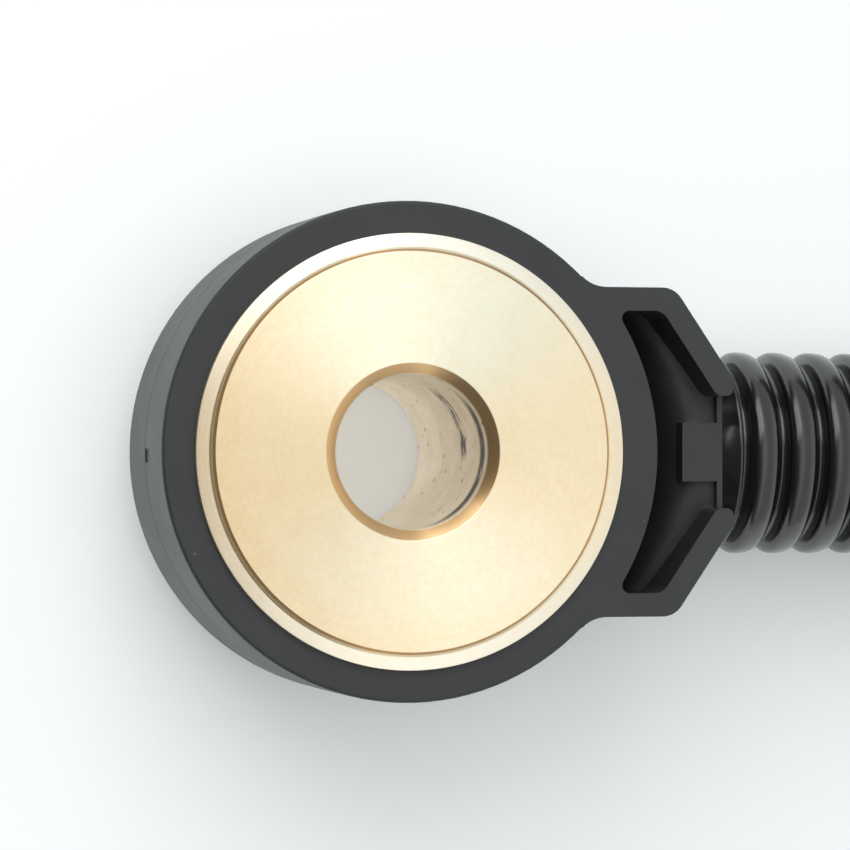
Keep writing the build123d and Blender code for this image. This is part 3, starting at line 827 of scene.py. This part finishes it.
class SENSOR_OT_finishes(bpy.types.Operator):
    """Make the shared effects as node groups"""
    bl_idname = "sensor.finishes"
    bl_label = "Shared effects"

    def execute(self, context):
        make_mottle_group()
        make_speck_group()
        make_turning_group()
        make_scratch_group()
        make_grain_group()
        return {"FINISHED"}


class SENSOR_OT_core(bpy.types.Operator):
    """Turn the brass core with its flange, bore and chamfers"""
    bl_idname = "sensor.core"
    bl_label = "Brass core"

    def execute(self, context):
        sizes = context.scene.sensor_sizes
        material = faced_brass(context.scene.sensor_colours)
        bm = turn(core_profile(), sizes.edge_round, sizes.turn_steps)
        even_normals(as_piece("brass_core", bm, "turned_brass", material, "core_bushing"))
        return {"FINISHED"}


class SENSOR_OT_housing(bpy.types.Operator):
    """Finish the moulded body and lug"""
    bl_idname = "sensor.housing"
    bl_label = "Moulded housing"

    def execute(self, context):
        base = context.scene.sensor_colours.moulding
        material = moulded_plastic("satin_moulding", base, 0.46, 5200.0, 0.035)
        softened_housing(material, context.scene.sensor_sizes.housing_edge)
        return {"FINISHED"}


class SENSOR_OT_stack(bpy.types.Operator):
    """Finish the stack inside the body, the lead's cores and jacket, and the pins and seals"""
    bl_idname = "sensor.stack"
    bl_label = "Inner pieces"

    def execute(self, context):
        finishes = {name: plain_finish(name, *values) for name, values in FINISHES.items()}
        for node, name in FINISH_OF_NODE.items():
            dress(node, finishes[name])
        return {"FINISHED"}


class SENSOR_OT_plug(bpy.types.Operator):
    """Finish the plug at the lead's far end"""
    bl_idname = "sensor.plug"
    bl_label = "Sealed plug"

    def execute(self, context):
        body = moulded_plastic("plug_moulding", (0.018, 0.018, 0.019), 0.38, 4200.0, 0.02)
        cover = moulded_plastic("cover_moulding", (0.03, 0.03, 0.031), 0.5, 3600.0, 0.02)
        dress("plug_housing", body)
        dress("plug_rear_shell", cover)
        return {"FINISHED"}


class SENSOR_OT_conduit(bpy.types.Operator):
    """Turn the corrugated conduit straight and lay it along the lead's line"""
    bl_idname = "sensor.conduit"
    bl_label = "Corrugated conduit"

    def execute(self, context):
        sizes = context.scene.sensor_sizes
        points, reach = lead_line()
        length = reach[-1]
        bm = bmesh.new()
        corners = [bm.verts.new((round(x, 9), 0, z)) for x, z in conduit_profile(sizes, length)]
        for a, b in zip(corners, corners[1:] + corners[:1]):
            bm.edges.new((a, b))
        bmesh.ops.spin(bm, geom=bm.verts[:] + bm.edges[:], cent=(0, 0, 0), axis=(1, 0, 0),
                       angle=math.tau, steps=sizes.conduit_steps, use_merge=True)
        bmesh.ops.recalc_face_normals(bm, faces=bm.faces[:])
        lay_along(bm, points, reach)
        material = glossy_conduit(context.scene.sensor_colours.conduit)
        piece = as_piece("corrugated_conduit", bm, "conduit_black", material, "lead_conduit")
        return {"FINISHED"}


class SENSOR_OT_stage(bpy.types.Operator):
    """Lay the pale floor, set the sky, hang the lamp and place the camera"""
    bl_idname = "sensor.stage"
    bl_label = "Stage, light and camera"

    def execute(self, context):
        scene = context.scene
        self.lay_floor(scene)
        self.set_sky(scene)
        self.hang_key_lamp(scene)
        self.place_camera(scene)
        scene.view_settings.view_transform = "Standard"
        return {"FINISHED"}

    def lay_floor(self, scene):
        bm = bmesh.new()
        bmesh.ops.create_grid(bm, x_segments=4, y_segments=4, size=FLOOR_HALF_WIDTH)
        bmesh.ops.translate(bm, verts=bm.verts[:], vec=(0, 0, FLOOR_Z))
        mesh = bpy.data.meshes.new("floor")
        bm.to_mesh(mesh)
        bm.free()
        floor = bpy.data.objects.new("floor", mesh)
        scene.collection.objects.link(floor)

        material, w, shader = new_material("pale_floor")
        pale = scene.sensor_colours.floor
        place = w.object_place()
        grain = w.noise(place, 1500.0, 3.0)
        tone = w.blend(grain, colour([channel * 0.985 for channel in pale]), colour(pale))
        # Painted pool of light: the floor glows more under the bore, seen directly and in the bore's wall
        painted_at_foot = w.ramp(w.length(place), 19.0 * MM, 21.0 * MM, 1.0, 0.0)
        shown = w.plus(w.times(painted_at_foot, 0.12), 0.19)
        # Painted reflection: the whole floor glows brighter in reflections than where the camera sees it
        painted_reflection_glow = w.plus(w.times(painted_at_foot, 0.34), 0.3)
        path = w.node("ShaderNodeLightPath").outputs
        seen = w.times(path["Is Camera Ray"], shown)
        seen = w.plus(seen, w.times(path["Is Glossy Ray"], painted_reflection_glow))
        w.plug_in(shader, Base_Color=tone, Roughness=0.9, Specular_IOR_Level=0.0,
                  Emission_Color=colour(pale), Emission_Strength=seen)
        mesh.materials.append(material)

    def set_sky(self, scene):
        """White where the camera sees it, a soft overhead light, and its own look in reflections."""
        world = bpy.data.worlds.new("studio")
        world.use_nodes = True
        world.node_tree.nodes.clear()
        w = Wiring(world.node_tree)
        x, y, z = w.parts(w.node("ShaderNodeTexCoord").outputs["Generated"])
        across = w.maths("DIVIDE", x, w.larger(z, 0.05))
        zenith = w.ramp(z, 0.9, 0.97, 0.0, 1.92)
        glossy = w.ramp(x, -0.35, 0.08, 0.12, 0.75)
        glossy = w.plus(glossy, w.times(w.between(across, 0.0, 0.42, 0.08), 0.42))
        glossy = w.plus(glossy, w.ramp(x, 0.6, 0.9, 0.0, 0.35))
        glossy = w.plus(glossy, w.times(zenith, 0.08))
        diffuse = w.plus(w.ramp(y, -0.5, 0.8, 0.28, 0.6), zenith)
        path = w.node("ShaderNodeLightPath").outputs
        seen = w.larger(path["Is Glossy Ray"], path["Is Transmission Ray"])
        strength = w.larger(w.choose(seen, diffuse, glossy), path["Is Camera Ray"])
        back = w.node("ShaderNodeBackground", {"Color": SKY, "Strength": strength})
        w.node("ShaderNodeOutputWorld", {"Surface": back.outputs[0]})
        scene.world = world

    def hang_key_lamp(self, scene):
        data = bpy.data.lights.new("key", "AREA")
        data.shape = "SQUARE"
        data.size = KEY_SIZE
        data.energy = KEY_POWER
        place = Vector(KEY_PLACE)
        towards_part = place.to_track_quat("Z", "Y").to_matrix().to_4x4()
        lamp = bpy.data.objects.new("key", data)
        lamp.matrix_world = Matrix.Translation(place) @ towards_part
        scene.collection.objects.link(lamp)

    def place_camera(self, scene):
        data = bpy.data.cameras.new("camera")
        data.sensor_width = SENSOR_WIDTH
        data.lens = FOCAL_PIXELS / PICTURE_PIXELS * SENSOR_WIDTH
        data.clip_start = 0.01
        data.clip_end = 10.0
        turned = Matrix.Rotation(math.radians(CAMERA_TURN), 4, "Y")
        turned = turned @ Matrix.Rotation(math.radians(CAMERA_NOD), 4, "X")
        back = turned.col[2].to_3d()
        place = Vector(CAMERA_AIM) * MM + back * CAMERA_DISTANCE * MM
        camera = bpy.data.objects.new("camera", data)
        camera.matrix_world = Matrix.Translation(place) @ turned
        scene.collection.objects.link(camera)
        scene.camera = camera


class SENSOR_PT_panel(bpy.types.Panel):
    bl_idname = "SENSOR_PT_panel"
    bl_label = "Knock sensor"
    bl_space_type = "VIEW_3D"
    bl_region_type = "UI"
    bl_category = "Knock sensor"

    def draw(self, context):
        layout = self.layout
        for group in (context.scene.sensor_sizes, context.scene.sensor_colours):
            for name in group.__annotations__:
                layout.prop(group, name)
        for operator in OPERATORS:
            layout.operator(operator.bl_idname)


OPERATORS = (
    SENSOR_OT_stage, SENSOR_OT_finishes, SENSOR_OT_conduit, SENSOR_OT_core,
    SENSOR_OT_housing, SENSOR_OT_stack, SENSOR_OT_plug,
)
CLASSES = (SensorSizes, SensorColours) + OPERATORS + (SENSOR_PT_panel,)


def register():
    for cls in CLASSES:
        bpy.utils.register_class(cls)
    bpy.types.Scene.sensor_sizes = bpy.props.PointerProperty(type=SensorSizes)
    bpy.types.Scene.sensor_colours = bpy.props.PointerProperty(type=SensorColours)


def unregister():
    del bpy.types.Scene.sensor_colours
    del bpy.types.Scene.sensor_sizes
    for cls in reversed(CLASSES):
        bpy.utils.unregister_class(cls)


def main():
    register()
    bpy.ops.sensor.stage()
    bpy.ops.sensor.finishes()
    bpy.ops.sensor.conduit()
    bpy.ops.sensor.core()
    bpy.ops.sensor.housing()
    bpy.ops.sensor.stack()
    bpy.ops.sensor.plug()


if __name__ == "__main__":
    main()
